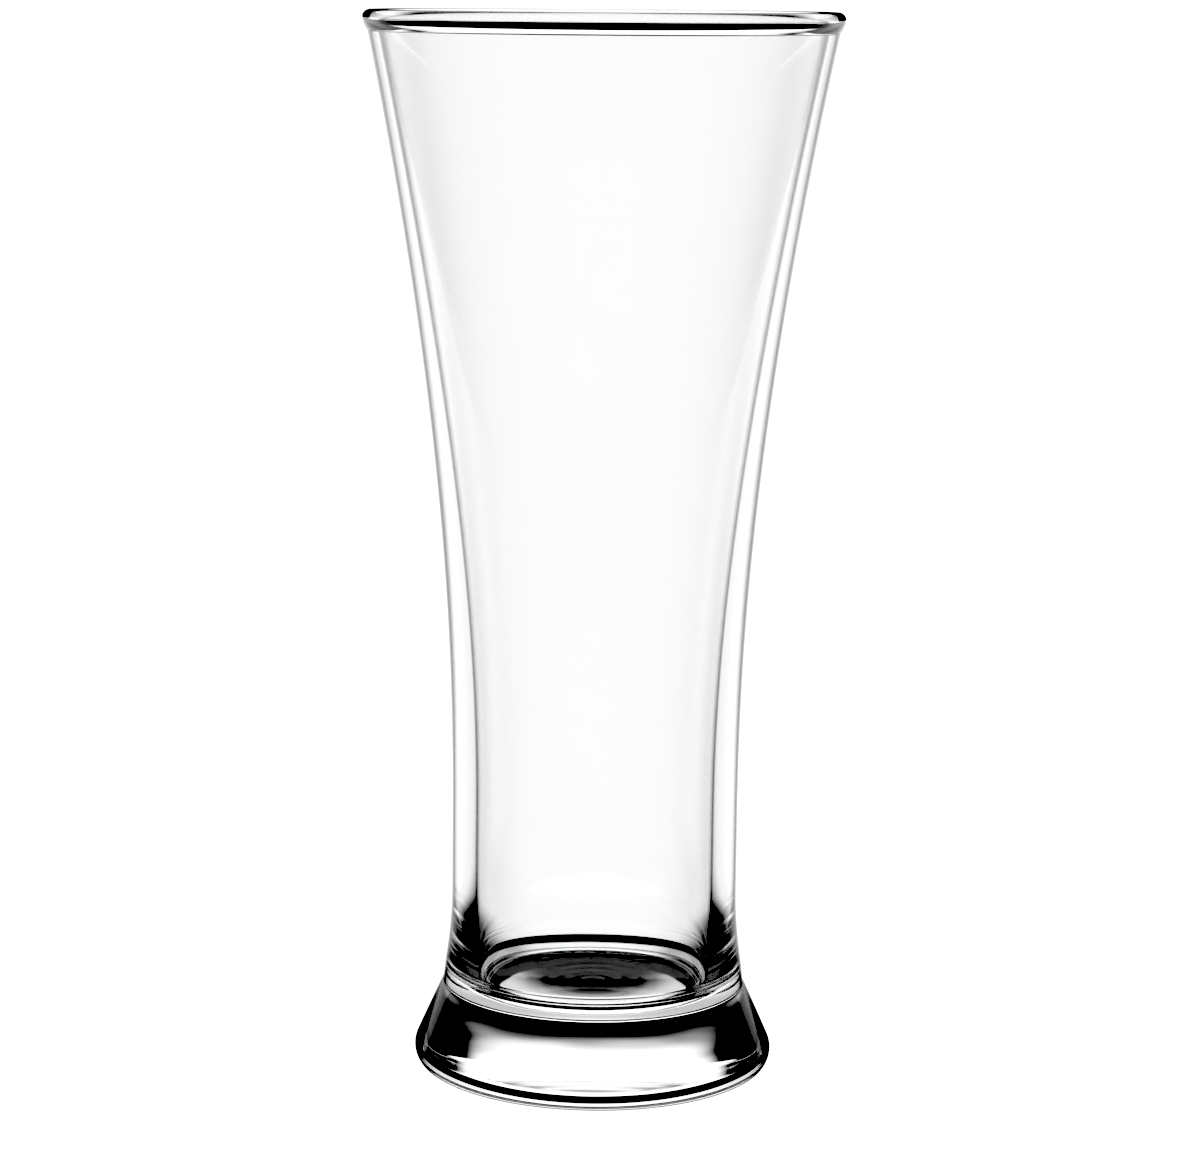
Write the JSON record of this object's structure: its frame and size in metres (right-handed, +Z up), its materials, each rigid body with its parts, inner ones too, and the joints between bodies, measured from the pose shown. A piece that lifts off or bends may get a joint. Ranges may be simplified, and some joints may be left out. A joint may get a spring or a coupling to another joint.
{
  "type": "pilsner glass",
  "caption": "Tall clear pilsner glass with a heavy sloping foot, a slim waist, a flared bowl and a round fire-polished rim.",
  "frame": {"origin": "centre of the resting ring, on the table", "axes": "+Z up along the glass's axis, towards the mouth"},
  "size_m": [0.0782, 0.0782, 0.176],
  "materials": {
    "foot_glass": "clear pressed soda-lime glass, thick and bright, lightly worn on the resting ring",
    "bowl_glass": "clear soda-lime glass, smooth inside and out with the faint waviness of a pressing",
    "rim_glass": "clear fire-polished glass, glossy and rounded"
  },
  "bodies": {
    "root": {"foot": "foot_glass", "bowl": "bowl_glass", "rim_bead": "rim_glass"}
  },
  "joints": []
}
